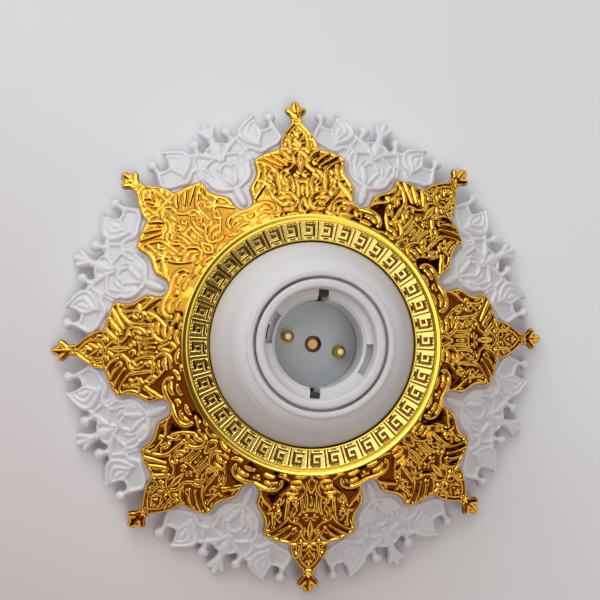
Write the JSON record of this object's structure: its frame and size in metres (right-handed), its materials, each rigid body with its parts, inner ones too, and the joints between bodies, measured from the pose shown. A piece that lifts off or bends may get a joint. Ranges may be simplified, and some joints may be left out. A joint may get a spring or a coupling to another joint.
{
  "type": "batten lamp holder",
  "caption": "Ornamental bayonet batten lamp holder: white filigree rose, gold relief star, Greek key ring, bell cover and barrel with sprung contact plungers.",
  "frame": {"origin": "centre of the back face, on the wall plane", "axes": "+Z out of the wall along the lamp's axis, +X and +Y along two points of the gold star"},
  "size_m": [0.148, 0.148, 0.0584],
  "materials": {
    "white_filigree": "glossy white moulded plastic",
    "gold_relief": "mirror gold plating on moulded plastic",
    "gold_ring": "mirror gold plating on moulded plastic",
    "white_cover": "glossy white plastic",
    "white_barrel": "glossy white plastic",
    "white_base": "plain white moulded plastic",
    "grey_insert": "matt grey insulating plastic",
    "brass": "turned brass",
    "spring_steel": "bright spring wire",
    "screw_steel": "zinc plated steel"
  },
  "bodies": {
    "holder": {"filigree_plate": "white_filigree", "star_plate": "gold_relief", "meander_ring": "gold_ring", "bayonet_barrel": "white_barrel", "contact_insert": "grey_insert", "terminal_pillar_left": "brass", "terminal_pillar_right": "brass", "terminal_screw_left": "screw_steel", "terminal_screw_right": "screw_steel", "centre_screw": "brass", "centre_nut": "screw_steel", "holder_base": "white_base", "plate_screws": "screw_steel", "barrel_screws": "screw_steel", "plunger_spring_left": "spring_steel", "plunger_spring_right": "spring_steel"},
    "cover": {"dome_cover": "white_cover"},
    "plunger_left": {"plunger_left": "brass"},
    "plunger_right": {"plunger_right": "brass"}
  },
  "joints": [
    {"name": "cover_lift", "type": "slide", "parent": "holder", "child": "cover", "axis": [0, 0, 1], "range_m": [0, 0.032]},
    {"name": "plunger_left_slide", "type": "slide", "parent": "holder", "child": "plunger_left", "axis": [0, 0, -1], "range_m": [0, 0.003], "stiffness_N_per_m": 1000, "springref_m": -0.002, "deforming": ["plunger_spring_left"]},
    {"name": "plunger_right_slide", "type": "slide", "parent": "holder", "child": "plunger_right", "axis": [0, 0, -1], "range_m": [0, 0.003], "stiffness_N_per_m": 1000, "springref_m": -0.002, "deforming": ["plunger_spring_right"]}
  ]
}
